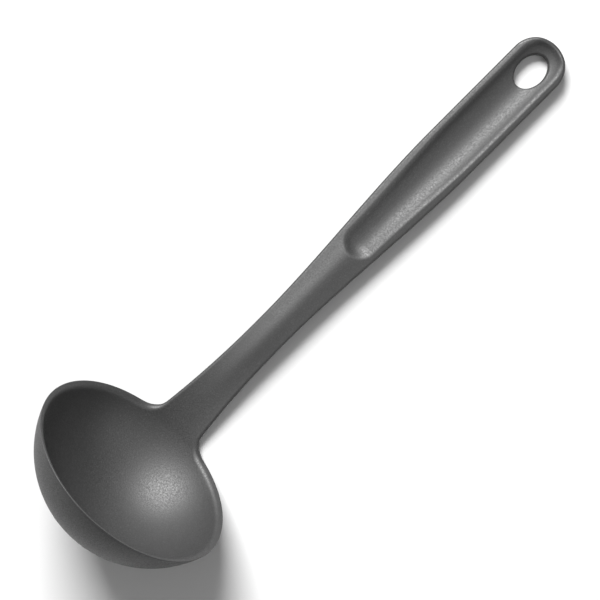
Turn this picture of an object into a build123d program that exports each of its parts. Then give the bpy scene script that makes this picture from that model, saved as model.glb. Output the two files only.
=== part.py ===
"""Soup ladle, moulded in one piece from glass-filled nylon.

The ladle lies on its back on a table, as it is put down between uses: the bowl rests on the side of its
ball and the handle on its far end, with the handle's front facing up. +X runs along the handle towards
the hang hole, the bowl is at -X, Y is across and the two halves are alike. The origin is the middle of
the bottom of the ladle's box.

It is drawn first with the straight grip along X and its front facing +Z, and is turned into the resting
place by the last step. Distances along the handle are measured from the back of the bowl's rim.
"""
import math
import os

from build123d import *

# Bowl, part of a ball
rim_radius = 45.0             # outer edge of the rim
bowl_depth = 34.3             # rim to the lowest point of the outside
bowl_wall = 2.6
rim_drop = 0.9                # the rim's top falls this much towards the inside
rim_round = 0.5
bowl_tilt = 29.2              # degrees from the grip's line to the bowl's axis
corner_fillet = 5.0           # between the neck's sides and the rim
web_setback = 0.6

# Places along the handle
waist_distance = 55.5         # where the neck is narrowest
widen_distance = 58.0         # where it starts to widen into the grip
grip_distance = 162.0         # where the grip reaches its full width
hole_distance = 208.9         # middle of the hang hole
end_distance = 211.8          # middle of the round end
bend_length = 66.0            # the neck turns from the bowl's wall to the grip's line over this length
buttress_length = 15.0        # the neck's back runs out down the outside of the bowl over this length

# Widths across the handle
root_width = 22.6
waist_width = 15.2
grip_width = 24.4
side_draft = 0.8              # the back is this much narrower on each side

# Thickness from front to back
root_thickness = 3.5
waist_thickness = 7.0
grip_thickness = 9.0

# How far the middle of the front stands above its two edges
root_hollow = 1.2             # hollow at the root, to run on from the bowl
waist_crown = 1.2
grip_crown = 2.0
neck_overlap = 0.2            # the bowl's hollow trims this much off the front of the root

# Rounded edges along the handle
front_round = 1.2
back_round = 2.6

# Thumb channel, cut by a shape turned about an axis above the grip
channel_radius = 14.5         # curve of the channel's floor
channel_depth = 4.6           # below the top of the crown
channel_length = 108.6        # from the middle of the round end to the channel's lower end
channel_narrowing = 48.0      # the channel gets narrower over this length
channel_rise = 6.5            # its lower end climbs out over this length
channel_low_depth = 3.0       # depth where it starts to climb out
channel_overrun = 0.3         # the cutter goes on this far above the front
channel_round = 1.3

# Hang hole
hole_length = 16.3
hole_width = 11.7
hole_round = 0.7

# Edges are taken to lie on a cutter when they are this near
edge_match = 0.001

# Where the roof line of the front bends, as shares of the half width and of the crown
roof_width_share = 0.5
roof_height_share = 0.45

ball_radius = (rim_radius ** 2 + bowl_depth ** 2) / (2 * bowl_depth)
ball_height = ball_radius - bowl_depth
hollow_radius = ball_radius - bowl_wall
outer_lean = math.asin(ball_height / ball_radius)
inner_lean = math.asin(ball_height / hollow_radius)
inner_rim_radius = hollow_radius * math.cos(inner_lean)
tilt = math.radians(bowl_tilt)
bend_radius = bend_length / (tilt - inner_lean)


def smooth(share):
    """Ease from 0 to 1."""
    share = min(max(share, 0), 1)
    return share * share * (3 - 2 * share)


def blend(first, second, share):
    return first + (second - first) * share


def past_waist(distance):
    return smooth((distance - widen_distance) / (grip_distance - widen_distance))


def front_line(distance):
    """Along, up and slope of the front's middle line.

    It is straight along the grip, bends down through the neck and then follows the bowl's hollow.
    """
    if distance >= bend_length:
        return distance, 0, 0
    if distance >= 0:
        slope = (bend_length - distance) / bend_radius
        return bend_length - bend_radius * math.sin(slope), bend_radius * (math.cos(slope) - 1), slope
    along, up, slope = front_line(0)
    turn = distance / hollow_radius
    chord = 2 * hollow_radius * math.sin(turn / 2)
    direction = slope + turn / 2
    return along + chord * math.cos(direction), up + chord * math.sin(direction), slope + turn


def half_width(distance):
    if distance >= waist_distance:
        return blend(waist_width, grip_width, past_waist(distance)) / 2
    flare = (1 - max(distance, 0) / waist_distance) ** 2
    return blend(waist_width, root_width, flare) / 2


def thickness(distance):
    if distance >= waist_distance:
        return blend(waist_thickness, grip_thickness, past_waist(distance))
    if distance >= 0:
        return blend(root_thickness, waist_thickness, smooth(distance / waist_distance))
    return blend(root_thickness, bowl_wall / 2, smooth(-distance / buttress_length))


def crown(distance):
    if distance >= waist_distance:
        return blend(waist_crown, grip_crown, past_waist(distance))
    return blend(-root_hollow, waist_crown, smooth(distance / waist_distance))


def rounded_corner(corner, before, after, radius):
    """Start, middle and end of the arc that rounds a corner between two neighbours."""
    corner = Vector(*corner)
    back = (Vector(*before) - corner).normalized()
    ahead = (Vector(*after) - corner).normalized()
    half_angle = math.radians(back.get_angle(ahead)) / 2
    length = radius / math.tan(half_angle)
    bulge = radius / math.sin(half_angle) - radius
    return corner + back * length, corner + (back + ahead).normalized() * bulge, corner + ahead * length


def half_outline(distance):
    """Right half of the outline across the handle, from the middle of the front round to the back."""
    wide = half_width(distance)
    deep = thickness(distance)
    drop = crown(distance)
    side = deep - drop
    roof = (wide * roof_width_share, -drop * roof_height_share)
    front_edge = (wide, -drop)
    back_edge = (wide - min(side_draft, side / 4), -deep)
    front_arc = rounded_corner(front_edge, roof, back_edge, min(front_round, side / 4))
    back_arc = rounded_corner(back_edge, front_edge, (0, -deep), min(back_round, side / 2))
    return [
        Spline((0, 0), roof, front_arc[0], tangents=[(1, 0), front_arc[0] - Vector(*roof)]),
        ThreePointArc(*front_arc),
        Line(front_arc[2], back_arc[0]),
        ThreePointArc(*back_arc),
        Line(back_arc[2], (0, -deep)),
    ]


def section_plane(distance):
    along, up, slope = front_line(distance)
    raised = neck_overlap * (1 - smooth(distance / bend_length))
    origin = (along - raised * math.sin(slope), 0, up + raised * math.cos(slope))
    return Plane(origin=origin, x_dir=(0, 1, 0), z_dir=(math.cos(slope), 0, math.sin(slope)))


def section(distance):
    right = half_outline(distance)
    left = [mirror(edge, Plane.YZ) for edge in right]
    return section_plane(distance) * make_face(right + left)


def half_section(distance):
    middle = Line((0, -thickness(distance)), (0, 0))
    return section_plane(distance) * make_face(half_outline(distance) + [middle])


def make_bar():
    """Bent neck, widening grip, even grip, and the half turn that closes its end."""
    straight = max(bend_length, widen_distance)
    neck_shares = (0, 1 / 8, 1 / 4, 3 / 8, 1 / 2, 5 / 8, 3 / 4, 7 / 8, 1)
    grip_shares = (0, 1 / 5, 2 / 5, 3 / 5, 4 / 5, 1)
    neck = [-buttress_length, -buttress_length / 2] + [straight * share for share in neck_shares]
    widening = [blend(straight, grip_distance, share) for share in grip_shares]
    bar = loft([section(distance) for distance in neck]) + loft([section(distance) for distance in widening])
    bar += extrude(section(grip_distance), end_distance - grip_distance, dir=(1, 0, 0))
    return bar + revolve(half_section(end_distance), Axis((end_distance, 0, 0), (0, 0, 1)), -180)


def bowl_plane():
    """Middle of the rim, with x towards the neck and z out of the bowl."""
    along, up, _ = front_line(0)
    to_neck = (math.sin(tilt), 0, -math.cos(tilt))
    origin = (along - to_neck[0] * inner_rim_radius, 0, up - to_neck[2] * inner_rim_radius)
    return Plane(origin=origin, x_dir=to_neck, z_dir=(math.cos(tilt), 0, math.sin(tilt)))


def ball_point(radius, height):
    """Point of a ball's outline at a height over the rim, as radius and height."""
    return math.sqrt(radius ** 2 - (height - ball_height) ** 2), height


def make_shell():
    """The bowl: outside and hollow are balls about one middle, and the rim's top falls inwards."""
    outer_rim = Vector(rim_radius, 0)
    inner_rim = Vector(*ball_point(hollow_radius, -rim_drop))
    across = (inner_rim - outer_rim).normalized() * rim_round
    outer_low = ball_point(ball_radius, -rim_round)
    inner_low = ball_point(hollow_radius, -rim_drop - rim_round)
    outer_bulge = (outer_rim + across + Vector(*outer_low)) * (1 / 4) + outer_rim * (1 / 2)
    inner_bulge = (inner_rim - across + Vector(*inner_low)) * (1 / 4) + inner_rim * (1 / 2)
    bottom = (0, -bowl_depth)
    hollow_bottom = (0, bowl_wall - bowl_depth)
    profile = make_face([
        ThreePointArc(bottom, ball_point(ball_radius, -bowl_depth / 2), outer_low),
        ThreePointArc(outer_low, outer_bulge, outer_rim + across),
        Line(outer_rim + across, inner_rim - across),
        ThreePointArc(inner_rim - across, inner_bulge, inner_low),
        ThreePointArc(inner_low, ball_point(hollow_radius, -bowl_depth / 2), hollow_bottom),
        Line(hollow_bottom, bottom),
    ])
    return revolve(Plane.XZ * profile, Axis.Z, 360)


def make_web():
    """The bowl's wall carried on above the rim behind the neck, out to the two corner fillets.

    Its front leans back by web_setback at the top, so that it ends inside the neck.
    """
    low = -2 * rim_drop
    outer_top = (rim_radius + corner_fillet * math.tan(outer_lean), corner_fillet)
    inner_top = (outer_top[0] - bowl_wall + web_setback, corner_fillet)
    inner_rim = (inner_rim_radius, -rim_drop)
    outer_low = ball_point(ball_radius, low)
    profile = make_face([
        ThreePointArc(outer_low, ball_point(ball_radius, low / 2), (rim_radius, 0)),
        Line((rim_radius, 0), outer_top),
        Line(outer_top, inner_top),
        Line(inner_top, inner_rim),
        Line(inner_rim, (inner_rim_radius, low)),
        Line((inner_rim_radius, low), outer_low),
    ])
    ring = revolve(Plane.XZ * profile, Axis.Z, 360)
    inner = half_width(corner_fillet)
    outer = inner + corner_fillet
    reach = corner_fillet * math.sqrt(1 / 2)
    corner = ThreePointArc((outer, 0), (outer - reach, corner_fillet - reach), (inner, corner_fillet))
    right = [Line((0, low), (outer, low)), Line((outer, low), (outer, 0)), corner,
             Line((inner, corner_fillet), (0, corner_fillet))]
    left = [mirror(edge, Plane.YZ) for edge in right]
    return ring & extrude(Plane.YZ * make_face(right + left), 2 * rim_radius)


def make_channel():
    """Cutter for the thumb channel: round at the hole's end, narrowing and climbing out at the other."""
    axis_up = channel_radius - channel_depth
    low_radius = axis_up + channel_low_depth
    low_end = end_distance - channel_length
    climb = low_end + channel_rise
    full = climb + channel_narrowing
    reach = channel_radius * math.sqrt(1 / 2)
    low_top = axis_up - channel_overrun
    profile = make_face([
        Line((low_end - channel_overrun, 0), (low_end - channel_overrun, low_top)),
        Spline((low_end - channel_overrun, low_top), (climb, low_radius), tangents=[(1, 1), (1, 0)]),
        Spline((climb, low_radius), (full, channel_radius), tangents=[(1, 0), (1, 0)]),
        Line((full, channel_radius), (end_distance, channel_radius)),
        ThreePointArc((end_distance, channel_radius), (end_distance + reach, reach),
                      (end_distance + channel_radius, 0)),
        Line((end_distance + channel_radius, 0), (low_end - channel_overrun, 0)),
    ])
    return Pos(0, 0, axis_up) * revolve(Plane.XZ * profile, Axis.X, 360)


def make_hole():
    oval = Ellipse(hole_length / 2, hole_width / 2)
    return Pos(hole_distance, 0, 0) * extrude(oval, 2 * grip_thickness, both=True)


def edges_cut_by(cutter, shape):
    """Edges of a shape that lie on a cutter's faces."""
    def on_cutter(point):
        return min(face.distance_to(Vertex(point)) for face in cutter.faces()) < edge_match

    return ShapeList(edge for edge in shape.edges() if on_cutter(edge @ (1 / 3)) and on_cutter(edge @ (3 / 4)))


def make_ladle():
    rim = bowl_plane()
    hollow = rim * (Pos(0, 0, ball_height) * Sphere(hollow_radius))
    ladle = rim * make_shell() + (rim * make_web() + make_bar() - hollow)

    channel = make_channel()
    ladle -= channel
    mouth = edges_cut_by(channel, ladle).filter_by(lambda edge: edge.center().Z > -grip_crown)
    ladle = fillet(mouth, channel_round)

    hole = make_hole()
    ladle -= hole
    ends = edges_cut_by(hole, ladle).filter_by(GeomType.LINE, reverse=True)
    return fillet(ends, hole_round)


def at_rest(ladle):
    """Turn the ladle down until ball and handle end touch the table, and centre its box over the origin."""
    middle = bowl_plane().from_local_coords((0, 0, ball_height))
    flat_end = Vector(end_distance + grip_width / 2 - side_draft - back_round, 0, back_round - grip_thickness)
    span = flat_end - middle
    fall = math.degrees(math.atan2(-span.Z, span.X) - math.asin((ball_radius - back_round) / span.length))
    ladle = Rot(0, -fall, 0) * ladle
    box = ladle.bounding_box()
    return Pos(-box.center().X, -box.center().Y, -box.min.Z) * ladle


os.makedirs("parts", exist_ok=True)
ladle = at_rest(make_ladle())
export_step(ladle, "parts/ladle.step")
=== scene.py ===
"""A soup ladle, moulded in one piece from glass-filled nylon, lying on a pale studio floor.

The ladle is one closed sheet: a front skin, a back skin and an edge that runs all the way round. It is
drawn with a straight neck. `along` runs up the handle from the back of the bowl's rim, `across` goes
sideways and `up` is out of the front. A node tree then bends the neck and lays the ladle down.
"""

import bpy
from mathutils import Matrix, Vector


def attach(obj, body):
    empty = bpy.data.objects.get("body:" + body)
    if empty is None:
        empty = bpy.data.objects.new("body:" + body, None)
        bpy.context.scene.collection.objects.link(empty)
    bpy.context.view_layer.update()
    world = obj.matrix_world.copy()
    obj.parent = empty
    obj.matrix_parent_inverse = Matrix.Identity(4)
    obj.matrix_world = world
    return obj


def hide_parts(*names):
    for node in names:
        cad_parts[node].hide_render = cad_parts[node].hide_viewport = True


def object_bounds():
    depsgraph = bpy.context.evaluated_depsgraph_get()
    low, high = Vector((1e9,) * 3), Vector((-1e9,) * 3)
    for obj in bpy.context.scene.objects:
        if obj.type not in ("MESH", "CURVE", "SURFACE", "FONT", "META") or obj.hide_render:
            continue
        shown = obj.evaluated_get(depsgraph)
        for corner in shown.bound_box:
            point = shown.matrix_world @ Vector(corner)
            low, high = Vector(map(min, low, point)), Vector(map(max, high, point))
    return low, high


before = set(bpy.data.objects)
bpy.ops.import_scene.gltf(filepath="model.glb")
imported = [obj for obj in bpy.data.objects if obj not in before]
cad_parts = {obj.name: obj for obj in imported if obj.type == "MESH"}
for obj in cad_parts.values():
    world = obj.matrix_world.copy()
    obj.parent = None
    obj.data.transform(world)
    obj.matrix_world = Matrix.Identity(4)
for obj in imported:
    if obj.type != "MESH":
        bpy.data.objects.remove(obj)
cad_box = [list(corner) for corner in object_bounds()]

import math

import bmesh
import bpy
from bpy.props import FloatProperty, FloatVectorProperty, PointerProperty, StringProperty
from mathutils import Matrix, Vector

bl_info = {
    "name": "Soup ladle",
    "version": (1, 0, 0),
    "blender": (4, 5, 0),
    "location": "3D View > Sidebar > Ladle",
    "description": "Builds a one-piece nylon soup ladle and its studio",
    "category": "Object",
}

MM = 0.001
NODE = "ladle"
BODY = "root"

# Points nearer to each other than this are joined
WELD = 0.001 * MM
# Step along a face that gives the face's direction at an edge
PROBE = 0.2 * MM

# Steps of the mesh round the bowl's rim and down the bowl
RIM_STEPS = 72
RING_STEPS = 40

# Steps over an edge: its front rounding, its side and its back rounding
FRONT_ARC_STEPS = 7
SIDE_STEPS = 4
BACK_ARC_STEPS = 8

# Steps round the corner between the rim and the neck, and rounds of working out where its arc lies
CORNER_STEPS = 16
CORNER_ROUNDS = 8

# Steps across half of the back, and of the front: outside the channel's lip, over it and inside it
BACK_STEPS = 14
LAND_STEPS = 8
LIP_STEPS = 10
CHANNEL_STEPS = 16

# The steps over the lip reach this far to each side of it, and at most this share of the way to the edge
LIP_REACH = 1.1 * MM
LIP_REACH_SHARE = 0.12
# The lip is taken to lie between these shares of the way from the middle to the edge
LIP_LOW_SHARE = 0.3
LIP_HIGH_SHARE = 0.8

# Step along the neck, where the channel climbs out, and along the grip
NECK_STEP = 1.1 * MM
CLIMB_STEP = 0.35 * MM
GRIP_STEP = 1.4 * MM
# The short steps start this far before the channel and end this far after its climb
CLIMB_BEFORE = 4 * MM
CLIMB_AFTER = 6 * MM

# Steps beside the hang hole, round the handle's end, over the hole's edges and down the hole
HOLE_SIDE_STEPS = 14
END_STEPS = 26
HOLE_ARC_STEPS = 6
HOLE_STEPS = 4

# The pits' pattern is this many times as fine as the fibres'
PIT_FINENESS = 0.8
# Noise at which a fibre starts to show and shows fully
FLECK_NOISE = (0.5, 0.72)
# Noise at which a spot is smoothest and roughest
GLOSS_NOISE = (0.35, 0.65)


def length(name, millimetres, description):
    """Setting for a length."""
    return FloatProperty(name=name, description=description, default=millimetres * MM, unit="LENGTH")


def angle(name, degrees, description):
    """Setting for an angle."""
    return FloatProperty(name=name, description=description, default=math.radians(degrees), subtype="ANGLE")


def spot(name, millimetres, description):
    """Setting for a place in the studio."""
    metres = [value * MM for value in millimetres]
    return FloatVectorProperty(name=name, description=description, default=metres, subtype="TRANSLATION")


def amount(name, default, description):
    """Setting for a plain number."""
    return FloatProperty(name=name, description=description, default=default)


def colour(name, default, description):
    """Setting for a colour, as a hex sRGB code."""
    return StringProperty(name=name, description=description, default=default)


class LadleSizes(bpy.types.PropertyGroup):
    """Sizes of the moulding."""

    rim_radius: length("Rim radius", 45.0, "Outer edge of the bowl's rim")
    bowl_depth: length("Bowl depth", 34.3, "Rim to the lowest point of the outside")
    bowl_wall: length("Bowl wall", 2.15, "Wall of the bowl")
    rim_drop: length("Rim drop", 1.35, "How much the rim's top falls towards the inside")
    rim_inner_round: length("Rim inner round", 1.2, "How far the rounding of the rim's inner edge reaches")
    rim_outer_round: length("Rim outer round", 0.5, "The same at its outer edge")
    bowl_tilt: angle("Bowl tilt", 29.2, "From the grip's line to the bowl's axis")
    corner_round: length("Corner round", 10.5, "Between the neck's sides and the rim")
    buttress_length: length("Buttress length", 10.0, "How far the neck's back runs down the bowl")
    buttress_blend: length("Buttress blend", 0.8, "How softly it leaves the bowl")

    waist_distance: length("Waist distance", 55.5, "Where the neck is narrowest")
    widen_distance: length("Widening distance", 58.0, "Where it starts to widen into the grip")
    grip_distance: length("Grip distance", 162.0, "Where the grip has its full width")
    end_distance: length("End distance", 211.54, "Middle of the round end")
    bend_length: length("Bend length", 66.0, "The neck is bent over this length")

    root_width: length("Root width", 22.6, "Neck where it leaves the bowl")
    waist_width: length("Waist width", 15.2, "Narrowest part of the neck")
    grip_width: length("Grip width", 24.4, "Full width of the grip")
    side_draft: length("Side draft", 0.8, "The back is this much narrower on each side")

    root_thickness: length("Root thickness", 3.05, "Front to back at the bowl")
    waist_thickness: length("Waist thickness", 7.0, "Front to back at the waist")
    grip_thickness: length("Grip thickness", 9.0, "Front to back along the grip")
    waist_crown: length("Waist crown", 1.2, "Middle of the front above its edges, at the waist")
    grip_crown: length("Grip crown", 1.8, "The same along the grip")
    front_round: length("Front round", 1.2, "Rounding of the front edges")
    back_round: length("Back round", 2.6, "Rounding of the back edges")

    channel_radius: length("Channel radius", 13.4, "Curve of the thumb channel's floor")
    channel_depth: length("Channel depth", 5.0, "Floor below the top of the crown")
    channel_length: length("Channel length", 109.2, "From the round end's middle to the lower end")
    channel_narrowing: length("Channel narrowing", 60.0, "It gets narrower over this length")
    channel_rise: length("Channel rise", 7.5, "Its lower end climbs out over this length")
    channel_low_depth: length("Channel low depth", 3.0, "Depth where it starts to climb out")
    channel_end_curl: amount("Channel end curl", 0.7, "How steeply its end rises: 1 is as at its sides")
    lip_blend: length("Lip blend", 1.2, "How softly the channel's lip is rounded")

    hole_distance: length("Hole distance", 208.8, "Middle of the hang hole")
    hole_length: length("Hole length", 16.3, "Hang hole along the handle")
    hole_width: length("Hole width", 11.7, "Hang hole across the handle")
    hole_round: length("Hole round", 0.7, "Rounding of the hole's edges")


class LadleFinish(bpy.types.PropertyGroup):
    """Colours and grain of the nylon."""

    body: colour("Nylon", "#282828", "Moulded nylon, dark grey")
    fibre: colour("Fibres", "#363636", "Glass fibres that lie at the surface")
    roughness: amount("Roughness", 0.54, "Satin of the spark-eroded mould")
    roughness_spread: amount("Roughness spread", 0.1, "How much rougher or smoother a spot can be")
    index: amount("Refraction", 1.6, "Index of refraction of nylon with glass")
    grain: length("Grain", 0.5, "Pits left by the mould, drawn coarse enough to show")
    grain_depth: length("Grain depth", 0.05, "Height of the pits")


class StudioSettings(bpy.types.PropertyGroup):
    """Floor, lamps and camera."""

    floor: colour("Floor", "#CACACA", "Pale floor")
    floor_size: length("Floor size", 6000.0, "Side of the floor")
    room: colour("Room", "#FFFFFF", "Light from all round")
    room_strength: amount("Room strength", 0.12, "Brightness of the room")
    key_power: amount("Key power", 114.0, "Watts of the main soft lamp")
    top_power: amount("Top power", 3.0, "Watts of the lamp overhead")
    side_power: amount("Side power", 7.0, "Watts of the lamp on the other side")
    key_place: spot("Key place", (750.0, 1320.0, 1570.0), "Middle of the main lamp")
    top_place: spot("Top place", (0.0, 0.0, 1600.0), "Middle of the lamp overhead")
    side_place: spot("Side place", (300.0, -1200.0, 1400.0), "Middle of the lamp on the other side")
    lamp_size: length("Lamp size", 1050.0, "Side of each lamp")
    camera_height: length("Camera height", 1100.0, "Above the floor")
    camera_along: length("Camera along", -9.17, "Place of the camera along the handle")
    camera_across: length("Camera across", -7.0, "Place of the camera across the handle")
    aim_across: length("Aim across", 0.9, "Place across the handle that the camera points at")
    view_width: length("View width", 248.66, "Width of the floor that the camera sees")
    handle_rise: angle("Handle rise", 45.08, "The handle's slope in the picture")


def smooth(share):
    """Ease from 0 to 1."""
    share = min(max(share, 0), 1)
    return share * share * (3 - 2 * share)


def fade(share):
    """1 at the edge, and 0 from halfway in."""
    return smooth(share * 2 - 1)


def blend(first, second, share):
    """Value a share of the way from the first to the second."""
    return first + (second - first) * share


def hermite(share, start, end, start_slope, end_slope):
    """Cubic from start to end with the given slopes."""
    rest = 1 - share
    return (rest * rest * (1 + 2 * share) * start + share * share * (3 - 2 * share) * end
            + share * rest * rest * start_slope - share * share * rest * end_slope)


def soft_min(first, second, width):
    """Smaller of two heights, with the corner between them rounded."""
    overlap = max(width - abs(first - second), 0)
    return min(first, second) - overlap * overlap / (4 * width)


def soft_max(first, second, width):
    """Larger of two heights, with the corner between them rounded."""
    return -soft_min(-first, -second, width)


def spread(start, end, count):
    """Values from start to end in count even steps."""
    return [blend(start, end, index / count) for index in range(count + 1)]


def rounded_corner(corner, before, after, radius, count):
    """Points of the arc that rounds a corner between two neighbours."""
    back = (before - corner).normalized()
    ahead = (after - corner).normalized()
    half = back.angle(ahead) / 2
    middle = corner + (back + ahead).normalized() * (radius / math.sin(half))
    start = corner + back * (radius / math.tan(half)) - middle
    axis = back.cross(ahead)
    turns = spread(0, math.pi - 2 * half, count)
    return [middle + Matrix.Rotation(-turn, 3, axis) @ start for turn in turns]


class Form:
    """Heights and outline of the ladle before its neck is bent."""

    # The crown's fall from the middle to the edge: how much of it is reached where, and how steeply
    roof_width_share = 0.5
    roof_height_share = 0.45
    roof_middle_slope = 1.225
    roof_edge_slope = 1.1

    def __init__(self, sizes):
        self.sizes = sizes
        self.ball_radius = (sizes.rim_radius ** 2 + sizes.bowl_depth ** 2) / (2 * sizes.bowl_depth)
        self.ball_height = self.ball_radius - sizes.bowl_depth
        self.hollow_radius = self.ball_radius - sizes.bowl_wall
        self.lean = math.asin(self.ball_height / self.hollow_radius)
        self.inner_rim_radius = self.hollow_radius * math.cos(self.lean)
        self.bend_angle = sizes.bowl_tilt - self.lean
        self.channel_axis = sizes.channel_radius - sizes.channel_depth
        self.channel_low = sizes.end_distance - sizes.channel_length
        self.channel_climb = self.channel_low + sizes.channel_rise
        self.hole_low = sizes.hole_distance - sizes.hole_length / 2 - sizes.hole_round

    def past_waist(self, along):
        """0 at the waist, rising to 1 where the grip has its full size."""
        sizes = self.sizes
        return smooth((along - sizes.widen_distance) / (sizes.grip_distance - sizes.widen_distance))

    def half_width(self, along):
        """From the middle line to the outline."""
        sizes = self.sizes
        if along >= sizes.waist_distance:
            return blend(sizes.waist_width, sizes.grip_width, self.past_waist(along)) / 2
        flare = (1 - max(along, 0) / sizes.waist_distance) ** 2
        return blend(sizes.waist_width, sizes.root_width, flare) / 2

    def thickness(self, along):
        """Front to back, below the front's middle line."""
        sizes = self.sizes
        if along >= sizes.waist_distance:
            return blend(sizes.waist_thickness, sizes.grip_thickness, self.past_waist(along))
        if along >= 0:
            return blend(sizes.root_thickness, sizes.waist_thickness, smooth(along / sizes.waist_distance))
        return blend(sizes.root_thickness, sizes.bowl_wall / 2, smooth(-along / sizes.buttress_length))

    def roof(self, share):
        """Fall of the front from its middle, 0, to its edge, 1."""
        if share < self.roof_width_share:
            step = self.roof_width_share
            return hermite(share / step, 0, self.roof_height_share, 0, self.roof_middle_slope * step)
        step = 1 - self.roof_width_share
        return hermite((share - self.roof_width_share) / step, self.roof_height_share, 1,
                       self.roof_middle_slope * step, self.roof_edge_slope * step)

    def hollow(self, across):
        """Height of the bowl's hollow beside its middle line."""
        return self.hollow_radius - math.sqrt(self.hollow_radius ** 2 - across ** 2)

    def channel_reach(self, along):
        """Radius of the thumb channel about its axis above the grip."""
        sizes = self.sizes
        low_radius = self.channel_axis + sizes.channel_low_depth
        if along < self.channel_low:
            return max(self.channel_axis + along - self.channel_low, 0)
        if along < self.channel_climb:
            share = (along - self.channel_low) / sizes.channel_rise
            return hermite(share, self.channel_axis, low_radius, sizes.channel_rise, 0)
        widened = smooth((along - self.channel_climb) / sizes.channel_narrowing)
        return blend(low_radius, sizes.channel_radius, widened)

    def lip(self, along):
        """How far across the channel's lip lies; below the channel, where it would run on."""
        reach = self.channel_reach(max(along, self.channel_climb))
        return math.sqrt(reach ** 2 - (self.channel_axis + self.sizes.grip_crown / 2) ** 2)

    def front(self, along, across):
        """Height of the front: the bowl's hollow, or the crowned handle with its thumb channel."""
        sizes = self.sizes
        if along < 0:
            return self.hollow(across)
        beyond = max(along - sizes.end_distance, 0)
        side = math.hypot(beyond, across)
        roof = self.roof(side / self.half_width(along - beyond))
        if along < sizes.waist_distance:
            risen = smooth(along / sizes.waist_distance)
            bare = blend(self.hollow(across), -sizes.waist_crown * roof, risen)
        else:
            bare = -blend(sizes.waist_crown, sizes.grip_crown, self.past_waist(along)) * roof
        reach = self.channel_reach(along - beyond)
        aside = math.hypot(beyond * sizes.channel_end_curl, across)
        floor = self.channel_axis - math.sqrt(max(reach ** 2 - aside ** 2, 0))
        return soft_min(bare, floor, sizes.lip_blend)

    def back(self, along, across):
        """The bowl's outside, or the back of the neck and grip where they are thicker."""
        sizes = self.sizes
        bowl = math.sqrt(self.ball_radius ** 2 - across ** 2) - self.hollow_radius
        flat = self.half_width(along) - sizes.side_draft - sizes.back_round
        bar = self.thickness(along) - max(across - flat, 0) ** 2 / sizes.back_round
        return -soft_max(bowl, bar, sizes.buttress_blend)

    def place(self, along, across, up):
        """Point of the ladle with a straight neck. Below the rim the sheet curls up round the bowl."""
        if along >= 0:
            return Vector((along, across, up))
        turn = along / self.hollow_radius
        reach = self.hollow_radius - up
        return Vector((reach * math.sin(turn), across, self.hollow_radius - reach * math.cos(turn)))

    def unroll(self, point):
        """Along, across and up of a point."""
        if point.x >= 0:
            return tuple(point)
        rise = self.hollow_radius - point.z
        along = self.hollow_radius * math.atan2(point.x, rise)
        return along, point.y, self.hollow_radius - math.hypot(point.x, rise)

    def bowl(self, radius, height, azimuth):
        """Point at a radius and height about the bowl's axis, turned by azimuth from the neck."""
        outward = radius * math.cos(azimuth) - self.inner_rim_radius
        sine, cosine = math.sin(self.lean), math.cos(self.lean)
        return Vector((outward * sine + height * cosine, radius * math.sin(azimuth),
                       height * sine - outward * cosine))

    def bowl_height(self, point):
        """Height of a point over the rim, along the bowl's axis."""
        return point.x * math.cos(self.lean) + point.z * math.sin(self.lean)

    def polar(self, radius, height):
        """Angle from a ball's lowest point up to a height over the rim."""
        return math.acos((self.ball_height - height) / radius)

    def ball(self, radius, polar, azimuth):
        """Point of a ball about the bowl's middle."""
        return self.bowl(radius * math.sin(polar), self.ball_height - radius * math.cos(polar), azimuth)

    def outside(self, polar, azimuth):
        """The bowl's outside, thickened where the neck's back runs down it."""
        along, across, up = self.unroll(self.ball(self.ball_radius, polar, azimuth))
        return self.place(along, across, min(up, self.back(along, across)))

    def hole(self, turn, grow):
        """Along and across of the hang hole's edge, moved outwards by grow."""
        sizes = self.sizes
        return (sizes.hole_distance + (sizes.hole_length / 2 + grow) * math.cos(turn),
                (sizes.hole_width / 2 + grow) * math.sin(turn))


def edge_band(front_inside, front_corner, back_corner, back_inside, front_round, back_round):
    """Line over the sheet's edge, from the front skin to the back skin, with its two corners rounded."""
    front = rounded_corner(front_corner, front_inside, back_corner, front_round, FRONT_ARC_STEPS)
    back = rounded_corner(back_corner, front_corner, back_inside, back_round, BACK_ARC_STEPS)
    side = [front[-1].lerp(back[0], share) for share in spread(0, 1, SIDE_STEPS)[1:-1]]
    return front + side + back


def rim_corners(form, azimuth):
    """Just inside the rim, its inner edge, its outer edge and just below that."""
    sizes = form.sizes
    heights = (-sizes.rim_drop - PROBE, -sizes.rim_drop, 0, -PROBE)
    radii = (form.hollow_radius, form.hollow_radius, form.ball_radius, form.ball_radius)
    places = zip(radii, heights)
    return [form.ball(radius, form.polar(radius, height), azimuth) for radius, height in places]


def rim_rounds(form):
    """Radii of the rim's inner and outer rounding, from how far they reach along its faces."""
    inside, inner, outer, outside = rim_corners(form, 0)
    turns = ((inside - inner).angle(outer - inner), (inner - outer).angle(outside - outer))
    reaches = (form.sizes.rim_inner_round, form.sizes.rim_outer_round)
    return [reach * math.tan(turn / 2) for reach, turn in zip(reaches, turns)]


def seated(form, band):
    """The same line over an edge, with its first point moved on to the front."""
    along, across, _ = form.unroll(band[0])
    return [form.place(along, across, form.front(along, across))] + band[1:]


def rim_band(form, azimuth):
    """Line over the rim's edge."""
    return seated(form, edge_band(*rim_corners(form, azimuth), *rim_rounds(form)))


def handle_edges(form, along):
    """Front rounding, back rounding and draft of the handle's side, none too large for a thin side."""
    sizes = form.sizes
    quarter = (form.thickness(along) + form.front(along, form.half_width(along))) / 4
    return (min(sizes.front_round, quarter), min(sizes.back_round, 2 * quarter),
            min(sizes.side_draft, quarter))


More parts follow.
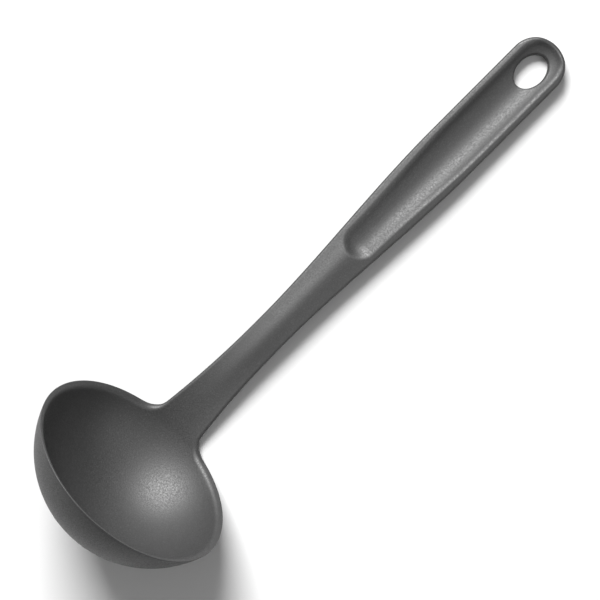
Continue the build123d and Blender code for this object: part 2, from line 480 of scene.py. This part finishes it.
def handle_band(form, along, turn):
    """Line over the edge of the neck or grip, or of the round end, where turn is 90 degrees at the tip."""
    wide = form.half_width(along)
    deep = form.thickness(along)
    front_round, back_round, draft = handle_edges(form, along)

    def at(side, up=None):
        here = (along + side * math.sin(turn), side * math.cos(turn))
        return Vector((*here, form.front(*here) if up is None else up))

    return edge_band(at(wide - PROBE), at(wide), at(wide - draft, -deep), at(0, -deep),
                     front_round, back_round)


class Corner:
    """The hollow corner between the rim and the neck's side: an arc in along and across."""

    def __init__(self, form):
        sizes = form.sizes
        radius = sizes.corner_round
        polar = form.polar(form.hollow_radius, -sizes.rim_drop)
        skin_polar = polar - sizes.rim_inner_round / form.hollow_radius
        narrowing = (sizes.root_width - sizes.waist_width) / sizes.waist_distance
        self.form = form
        self.start, self.end, self.end_along = 0, math.pi / 2, radius
        # The arc leaves the rim in the rim's own direction and ends in that of the neck's side
        for _ in range(CORNER_ROUNDS):
            across = form.half_width(self.end_along) + radius * (math.sin(self.end) - math.sin(self.start))
            self.azimuth = math.asin(across / form.hollow_radius / math.sin(polar))
            along, across, _ = form.unroll(rim_corners(form, self.azimuth)[1])
            reach = math.hypot(math.cos(skin_polar), math.sin(skin_polar) * math.cos(self.azimuth))
            self.start = math.atan(math.tan(self.azimuth) * math.cos(skin_polar) / reach ** 2)
            self.middle = (along + radius * math.cos(self.start), across + radius * math.sin(self.start))
            self.end_along = self.middle[0] - radius * math.cos(self.end)
            self.end = math.pi / 2 - math.atan(narrowing * (1 - self.end_along / sizes.waist_distance))

    def band(self, share):
        """Line over the edge, a share of the way from the rim to the neck's side."""
        form = self.form
        sizes = form.sizes
        turn = blend(self.start, self.end, share)
        away = (math.cos(turn), math.sin(turn))
        along, across = (self.middle[axis] - sizes.corner_round * away[axis] for axis in (0, 1))
        inside = (along - PROBE * away[0], across - PROBE * away[1])
        corner = form.place(along, across, form.front(along, across))
        rim = rim_corners(form, self.azimuth)
        front_round, back_round, draft = handle_edges(form, self.end_along)
        deep = form.thickness(self.end_along) + form.front(self.end_along, across)
        neck_side = Vector((0, -draft, -deep))
        ease = smooth(share)
        inner_round, outer_round = rim_rounds(form)
        back = corner + (rim[2] - rim[1]).lerp(neck_side, ease)
        inwards = (rim[3] - rim[2]).normalized().lerp(Vector((0, -1, 0)), ease)
        band = edge_band(form.place(*inside, form.front(*inside)), corner, back, back + inwards,
                         blend(inner_round, front_round, ease), blend(outer_round, back_round, ease))
        return seated(form, band)


def columns(form, along, span):
    """Shares of the way from the middle out to the edge, close together at the channel's lip."""
    land = form.half_width(along) - form.lip(along)
    lip = min(max(1 - land / span, LIP_LOW_SHARE), LIP_HIGH_SHARE)
    beside = min(LIP_REACH / span, LIP_REACH_SHARE)
    outside = spread(1, lip + beside, LAND_STEPS)
    over = spread(lip + beside, lip - beside, LIP_STEPS)
    inside = spread(lip - beside, 0, CHANNEL_STEPS)
    return outside + over[1:] + inside[1:]


def bows(form, row):
    """How far each point of a row has gone from the middle's place along the handle to the edge's."""
    places = [form.unroll(point)[0] for point in row]
    return [(place - places[-1]) / (places[0] - places[-1]) for place in places]


def skin_row(form, start, middle_along, shares, bow, height):
    """Row of a skin from the edge to the middle line."""
    along, across, up = form.unroll(start)
    drift = up - height(along, across)
    row = [start]
    for share, part in zip(shares[1:], bow[1:]):
        here = (blend(middle_along, along, part), across * share)
        row.append(form.place(*here, height(*here) + drift * fade(share)))
    return row


def ring_row(form, start, end, shares):
    """Row of the front from the edge to the hang hole."""
    drift = start.z - form.front(start.x, start.y)
    row = [start]
    for share in shares[1:-1]:
        here = (blend(end.x, start.x, share), blend(end.y, start.y, share))
        row.append(Vector((*here, form.front(*here) + drift * fade(share))))
    return row + [end]


def ring_turn(form, along, across):
    """Where a row from the outline meets the hang hole, as an angle about the hole's middle."""
    sizes = form.sizes
    first = math.atan2(sizes.grip_width / 2, form.hole_low - sizes.hole_distance)
    turn = math.atan2(across, along - sizes.hole_distance)
    return turn + (math.pi - first) * (turn / first) ** 3


def hole_column(form, turn):
    """Line down the hang hole from the front skin to the back skin."""
    sizes = form.sizes
    front, back = [], []
    for step in spread(0, math.pi / 2, HOLE_ARC_STEPS):
        here = form.hole(turn, sizes.hole_round * (1 - math.sin(step)))
        fall = sizes.hole_round * (1 - math.cos(step))
        front.append(Vector((*here, form.front(*here) - fall)))
        back.append(Vector((*here, fall - sizes.grip_thickness)))
    wall = [front[-1].lerp(back[-1], share) for share in spread(0, 1, HOLE_STEPS)[1:-1]]
    return front + wall + back[::-1]


def add_rows(mesh, rows):
    """Join rows of points into quads."""
    made = [[mesh.verts.new(point) for point in row] for row in rows]
    for low, high in zip(made, made[1:]):
        for corners in zip(low, low[1:], high[1:], high):
            mesh.faces.new(corners)


def add_bowl(mesh, form, corner, front_shares, back_shares):
    """Rim and both skins of the bowl. Returns the rows where the neck's edge and skins start."""
    azimuths = spread(corner.azimuth, math.pi, RIM_STEPS)
    rim = [rim_band(form, azimuth) for azimuth in azimuths]
    add_rows(mesh, rim)

    def add_skin(end, radius, shares, point):
        top = form.polar(radius, form.bowl_height(rim[0][end]))
        behind_neck = [math.asin(rim[0][end].y * share / radius / math.sin(top)) for share in shares[1:]]
        start = [rim[0][end]] + [point(top, turn) for turn in behind_neck]
        rings = [start[::-1] + [band[end] for band in rim[1:]]]
        turns = behind_neck[::-1] + azimuths
        rings += [[point(top * share, turn) for turn in turns] for share in spread(1, 0, RING_STEPS)[1:]]
        add_rows(mesh, rings)
        return start

    def inside(polar, azimuth):
        return form.ball(form.hollow_radius, polar, azimuth)

    return (rim[0], add_skin(0, form.hollow_radius, front_shares, inside),
            add_skin(-1, form.ball_radius, back_shares, form.outside))


def handle_places(form, start):
    """Places along the neck and grip up to the hang hole, close together where the channel climbs out."""
    places = [start]
    spans = ((form.channel_low - CLIMB_BEFORE, NECK_STEP), (form.channel_climb + CLIMB_AFTER, CLIMB_STEP),
             (form.hole_low, GRIP_STEP))
    for end, step in spans:
        places += spread(places[-1], end, math.ceil((end - places[-1]) / step))[1:]
    return places


def half_ladle(form):
    """The half of the ladle on one side of its middle plane."""
    sizes = form.sizes
    mesh = bmesh.new()
    corner = Corner(form)
    back_shares = spread(1, 0, BACK_STEPS)
    front_shares = columns(form, corner.end_along, form.half_width(corner.end_along))
    bands, fronts, backs = ([row] for row in add_bowl(mesh, form, corner, front_shares, back_shares))

    # The front's rows keep pace with the corner's edge, so that none of them crosses it
    low, high = (form.unroll(band[0])[0] for band in (bands[0], corner.band(1)))
    for share in spread(0, 1, CORNER_STEPS)[1:]:
        bands.append(corner.band(share))
        gone = (form.unroll(bands[-1][0])[0] - low) / (high - low)
        for rows, end, shares, height, part in ((fronts, 0, front_shares, form.front, gone),
                                                (backs, -1, back_shares, form.back, share)):
            middle = blend(form.unroll(rows[0][-1])[0], corner.end_along, part)
            rows.append(skin_row(form, bands[-1][end], middle, shares, bows(form, rows[0]), height))

    for along in handle_places(form, corner.end_along)[1:]:
        bands.append(handle_band(form, along, 0))
        shares = columns(form, along, form.half_width(along))
        fronts.append(skin_row(form, bands[-1][0], along, shares, shares, form.front))
        backs.append(skin_row(form, bands[-1][-1], along, back_shares, back_shares, form.back))

    holes = [hole_column(form, math.pi)]
    beside = [(along, 0) for along in spread(form.hole_low, sizes.end_distance, HOLE_SIDE_STEPS)[1:]]
    around = [(sizes.end_distance, turn) for turn in spread(0, math.pi / 2, END_STEPS)[1:]]
    for along, turn in beside + around:
        wide = form.half_width(along)
        edge = handle_band(form, along, turn)
        ring = hole_column(form, ring_turn(form, along + wide * math.sin(turn), wide * math.cos(turn)))
        shares = columns(form, along, (edge[0] - ring[0]).to_2d().length)
        bands.append(edge)
        holes.append(ring)
        fronts.append(ring_row(form, edge[0], ring[0], shares))
        backs.append([ring[-1].lerp(edge[-1], share) for share in back_shares])

    for rows in (bands, fronts, backs, holes):
        add_rows(mesh, rows)
    return mesh


def ladle_mesh(form):
    """Both halves in one closed mesh, with a straight neck."""
    mesh = half_ladle(form)
    bmesh.ops.remove_doubles(mesh, verts=mesh.verts, dist=WELD)
    bmesh.ops.mirror(mesh, geom=mesh.verts[:] + mesh.edges[:] + mesh.faces[:], axis="Y", merge_dist=WELD)
    bmesh.ops.recalc_face_normals(mesh, faces=mesh.faces)
    for face in mesh.faces:
        face.smooth = True
    if not all(edge.is_manifold for edge in mesh.edges):
        raise RuntimeError("the ladle's mesh is not closed")
    result = bpy.data.meshes.new(NODE)
    mesh.to_mesh(result)
    mesh.free()
    return result


def add(tree, kind, inputs=(), **settings):
    """Add a node. Each input is a value, or another node's output to link."""
    node = tree.nodes.new(kind)
    for name, value in settings.items():
        setattr(node, name, value)
    for socket, value in dict(inputs).items():
        if isinstance(value, bpy.types.NodeSocket):
            tree.links.new(value, node.inputs[socket])
        else:
            node.inputs[socket].default_value = value
    return node


def laying_tree():
    """Node tree that bends the neck into an arc and turns the ladle down on to the floor."""
    tree = bpy.data.node_groups.new("Bend neck and lay down", "GeometryNodeTree")
    face = tree.interface
    face.new_socket("Geometry", in_out="OUTPUT", socket_type="NodeSocketGeometry")
    face.new_socket("Geometry", in_out="INPUT", socket_type="NodeSocketGeometry")
    for name in ("Bend length", "Bend angle", "Fall"):
        face.new_socket(name, in_out="INPUT", socket_type="NodeSocketFloat")
    face.new_socket("Finish", in_out="INPUT", socket_type="NodeSocketMaterial")
    given = add(tree, "NodeGroupInput").outputs

    def math_of(operation, first, second):
        return add(tree, "ShaderNodeMath", {0: first, 1: second}, operation=operation).outputs[0]

    def turned(vector, centre, turn):
        inputs = {"Vector": vector, "Center": centre, "Axis": (0.0, 1.0, 0.0), "Angle": turn}
        return add(tree, "ShaderNodeVectorRotate", inputs, rotation_type="AXIS_ANGLE").outputs[0]

    position = add(tree, "GeometryNodeInputPosition").outputs[0]
    place = add(tree, "ShaderNodeSeparateXYZ", {0: position}).outputs
    radius = math_of("DIVIDE", given["Bend length"], given["Bend angle"])
    along = add(tree, "ShaderNodeClamp", {0: place["X"], 1: 0.0, 2: given["Bend length"]}).outputs[0]
    before = math_of("SUBTRACT", given["Bend length"], along)
    turn = math_of("DIVIDE", math_of("MULTIPLY", before, -1.0), radius)
    straight = add(tree, "ShaderNodeCombineXYZ", {0: math_of("ADD", place["X"], before), 1: place["Y"],
                                                  2: place["Z"]}).outputs[0]
    pivot = add(tree, "ShaderNodeCombineXYZ", {0: given["Bend length"],
                                               2: math_of("MULTIPLY", radius, -1.0)}).outputs[0]
    laid = turned(turned(straight, pivot, turn), (0.0, 0.0, 0.0), given["Fall"])
    moved = add(tree, "GeometryNodeSetPosition", {"Geometry": given["Geometry"], "Position": laid})
    whole = add(tree, "GeometryNodeRealizeInstances", {"Geometry": moved.outputs[0]})
    finished = add(tree, "GeometryNodeSetMaterial", {"Geometry": whole.outputs[0],
                                                     "Material": given["Finish"]})
    add(tree, "NodeGroupOutput", {"Geometry": finished.outputs[0]})
    return tree


def fall_angle(form):
    """Turn that brings both the bowl's ball and the handle's far end down to the floor."""
    sizes = form.sizes
    bend_radius = sizes.bend_length / form.bend_angle
    reach = bend_radius + form.hollow_radius
    middle = Vector((sizes.bend_length - reach * math.sin(form.bend_angle),
                     reach * math.cos(form.bend_angle) - bend_radius))
    end = Vector((sizes.end_distance + sizes.grip_width / 2 - sizes.side_draft - sizes.back_round,
                  sizes.back_round - sizes.grip_thickness))
    span = end - middle
    return math.asin((form.ball_radius - sizes.back_round) / span.length) - math.atan2(-span.y, span.x)


def set_on_floor(mesh):
    """Move a mesh so that it stands on the floor with its box centred along that of the CAD part."""
    places = [vertex.co for vertex in mesh.vertices]
    middle = (min(place.x for place in places) + max(place.x for place in places)) / 2
    wanted = (cad_box[0][0] + cad_box[1][0]) / 2
    mesh.transform(Matrix.Translation((wanted - middle, 0, -min(place.z for place in places))))


def laid_down(mesh, form, finish):
    """Object with a mesh that the node tree has bent and laid down."""
    piece = bpy.data.objects.new("ladle_moulding", mesh)
    bpy.context.scene.collection.objects.link(piece)
    bend = piece.modifiers.new("Bend", "NODES")
    bend.node_group = laying_tree()
    values = {"Bend length": form.sizes.bend_length, "Bend angle": form.bend_angle,
              "Fall": fall_angle(form), "Finish": finish}
    for item in bend.node_group.interface.items_tree:
        if item.in_out == "INPUT" and item.name in values:
            bend[item.identifier] = values[item.name]
    result = bpy.data.meshes.new_from_object(piece.evaluated_get(bpy.context.evaluated_depsgraph_get()))
    piece.modifiers.clear()
    piece.data = result
    set_on_floor(result)
    return piece


def linear(code):
    """Hex sRGB colour as linear red, green, blue and alpha."""
    parts = [int(code[start:start + 2], 16) / 255 for start in (1, 3, 5)]
    return [part / 12.92 if part <= 0.04045 else ((part + 0.055) / 1.055) ** 2.4 for part in parts] + [1.0]


def new_material(name):
    """Material without any nodes."""
    material = bpy.data.materials.new(name)
    material.use_nodes = True
    material.node_tree.nodes.clear()
    return material


def moulded_nylon(finish):
    """Glass-filled nylon from a spark-eroded mould: dark neutral grey with a satin sheen. Fine pits and
    spots of uneven gloss make the highlights sparkle, and the glass fibres show as paler flecks."""
    material = new_material("Glass-filled nylon, spark-eroded mould")
    tree = material.node_tree
    place = add(tree, "ShaderNodeTexCoord").outputs["Object"]
    fibres = add(tree, "ShaderNodeTexNoise", {"Vector": place, "Scale": 1 / finish.grain, "Detail": 2.0})
    fleck = add(tree, "ShaderNodeMapRange", {"Value": fibres.outputs[0], "From Min": FLECK_NOISE[0],
                                             "From Max": FLECK_NOISE[1]})
    shade = add(tree, "ShaderNodeMix", {"Factor": fleck.outputs[0], "A": linear(finish.body),
                                        "B": linear(finish.fibre)}, data_type="RGBA")
    pits = add(tree, "ShaderNodeTexNoise", {"Vector": place, "Scale": PIT_FINENESS / finish.grain,
                                            "Detail": 3.0, "Roughness": 0.6})
    sheen = add(tree, "ShaderNodeMapRange", {"Value": pits.outputs[0], "From Min": GLOSS_NOISE[0],
                                             "From Max": GLOSS_NOISE[1],
                                             "To Min": finish.roughness - finish.roughness_spread,
                                             "To Max": finish.roughness + finish.roughness_spread})
    relief = add(tree, "ShaderNodeBump", {"Height": pits.outputs[0], "Distance": finish.grain_depth})
    surface = add(tree, "ShaderNodeBsdfPrincipled", {"Base Color": shade.outputs["Result"],
                                                     "Roughness": sheen.outputs[0], "IOR": finish.index,
                                                     "Normal": relief.outputs[0]})
    add(tree, "ShaderNodeOutputMaterial", {"Surface": surface.outputs[0]})
    return material


def painted_floor(studio):
    """Matt white paint on board: even and without gloss."""
    material = new_material("Matt paint, rolled")
    tree = material.node_tree
    surface = add(tree, "ShaderNodeBsdfPrincipled", {"Base Color": linear(studio.floor), "Roughness": 0.9,
                                                     "Specular IOR Level": 0.1})
    add(tree, "ShaderNodeOutputMaterial", {"Surface": surface.outputs[0]})
    return material


def soft_lamp(name, power, size, place):
    """Square area lamp at a place, pointed at the ladle."""
    lamp = bpy.data.lights.new(name, "AREA")
    lamp.energy = power
    lamp.size = size
    holder = bpy.data.objects.new(name, lamp)
    holder.location = place
    holder.rotation_euler = Vector(place).to_track_quat("Z", "Y").to_euler()
    bpy.context.scene.collection.objects.link(holder)


class LADLE_OT_moulding(bpy.types.Operator):
    """Build the ladle and lay it on the floor"""

    bl_idname = "ladle.moulding"
    bl_label = "Ladle"

    def execute(self, context):
        form = Form(context.scene.ladle_sizes)
        piece = laid_down(ladle_mesh(form), form, moulded_nylon(context.scene.ladle_finish))
        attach(piece, BODY)
        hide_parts(NODE)
        return {"FINISHED"}


class LADLE_OT_studio(bpy.types.Operator):
    """Build the floor, the lamps and the camera"""

    bl_idname = "ladle.studio"
    bl_label = "Studio"

    def execute(self, context):
        scene = context.scene
        studio = scene.ladle_studio
        half = studio.floor_size / 2
        mesh = bpy.data.meshes.new("floor")
        corners = [(-half, -half, 0), (half, -half, 0), (half, half, 0), (-half, half, 0)]
        mesh.from_pydata(corners, [], [(0, 1, 2, 3)])
        mesh.materials.append(painted_floor(studio))
        floor = bpy.data.objects.new("floor", mesh)
        scene.collection.objects.link(floor)

        soft_lamp("key", studio.key_power, studio.lamp_size, studio.key_place)
        soft_lamp("top", studio.top_power, studio.lamp_size, studio.top_place)
        soft_lamp("side", studio.side_power, studio.lamp_size, studio.side_place)
        world = bpy.data.worlds.new("room")
        world.use_nodes = True
        background = world.node_tree.nodes["Background"]
        background.inputs["Color"].default_value = linear(studio.room)
        background.inputs["Strength"].default_value = studio.room_strength
        scene.world = world
        scene.view_settings.view_transform = "Standard"

        lens = bpy.data.cameras.new("camera")
        lens.lens = lens.sensor_width * studio.camera_height / studio.view_width
        camera = bpy.data.objects.new("camera", lens)
        camera.location = (studio.camera_along, studio.camera_across, studio.camera_height)
        tilt = math.atan2(studio.aim_across - studio.camera_across, studio.camera_height)
        turn = Matrix.Rotation(tilt, 3, "X") @ Matrix.Rotation(-studio.handle_rise, 3, "Z")
        camera.rotation_euler = turn.to_euler()
        scene.collection.objects.link(camera)
        scene.camera = camera
        return {"FINISHED"}


class LADLE_PT_panel(bpy.types.Panel):
    """Buttons and settings of the ladle"""

    bl_idname = "LADLE_PT_panel"
    bl_label = "Soup ladle"
    bl_space_type = "VIEW_3D"
    bl_region_type = "UI"
    bl_category = "Ladle"

    def draw(self, context):
        for operator, group in STEPS:
            self.layout.operator(operator.bl_idname)
            for name in group:
                settings = getattr(context.scene, name)
                for value in settings.bl_rna.properties:
                    if value.identifier not in ("name", "rna_type"):
                        self.layout.prop(settings, value.identifier)


STEPS = ((LADLE_OT_moulding, ("ladle_sizes", "ladle_finish")), (LADLE_OT_studio, ("ladle_studio",)))
GROUPS = {"ladle_sizes": LadleSizes, "ladle_finish": LadleFinish, "ladle_studio": StudioSettings}
CLASSES = (*GROUPS.values(), LADLE_OT_moulding, LADLE_OT_studio, LADLE_PT_panel)


def register():
    """Add the classes and their settings to Blender."""
    for item in CLASSES:
        bpy.utils.register_class(item)
    for name, group in GROUPS.items():
        setattr(bpy.types.Scene, name, PointerProperty(type=group))


def unregister():
    """Take them out again."""
    for name in GROUPS:
        delattr(bpy.types.Scene, name)
    for item in reversed(CLASSES):
        bpy.utils.unregister_class(item)


def main():
    """Build the studio and the ladle."""
    register()
    bpy.ops.ladle.studio()
    bpy.ops.ladle.moulding()


if __name__ == "__main__":
    main()
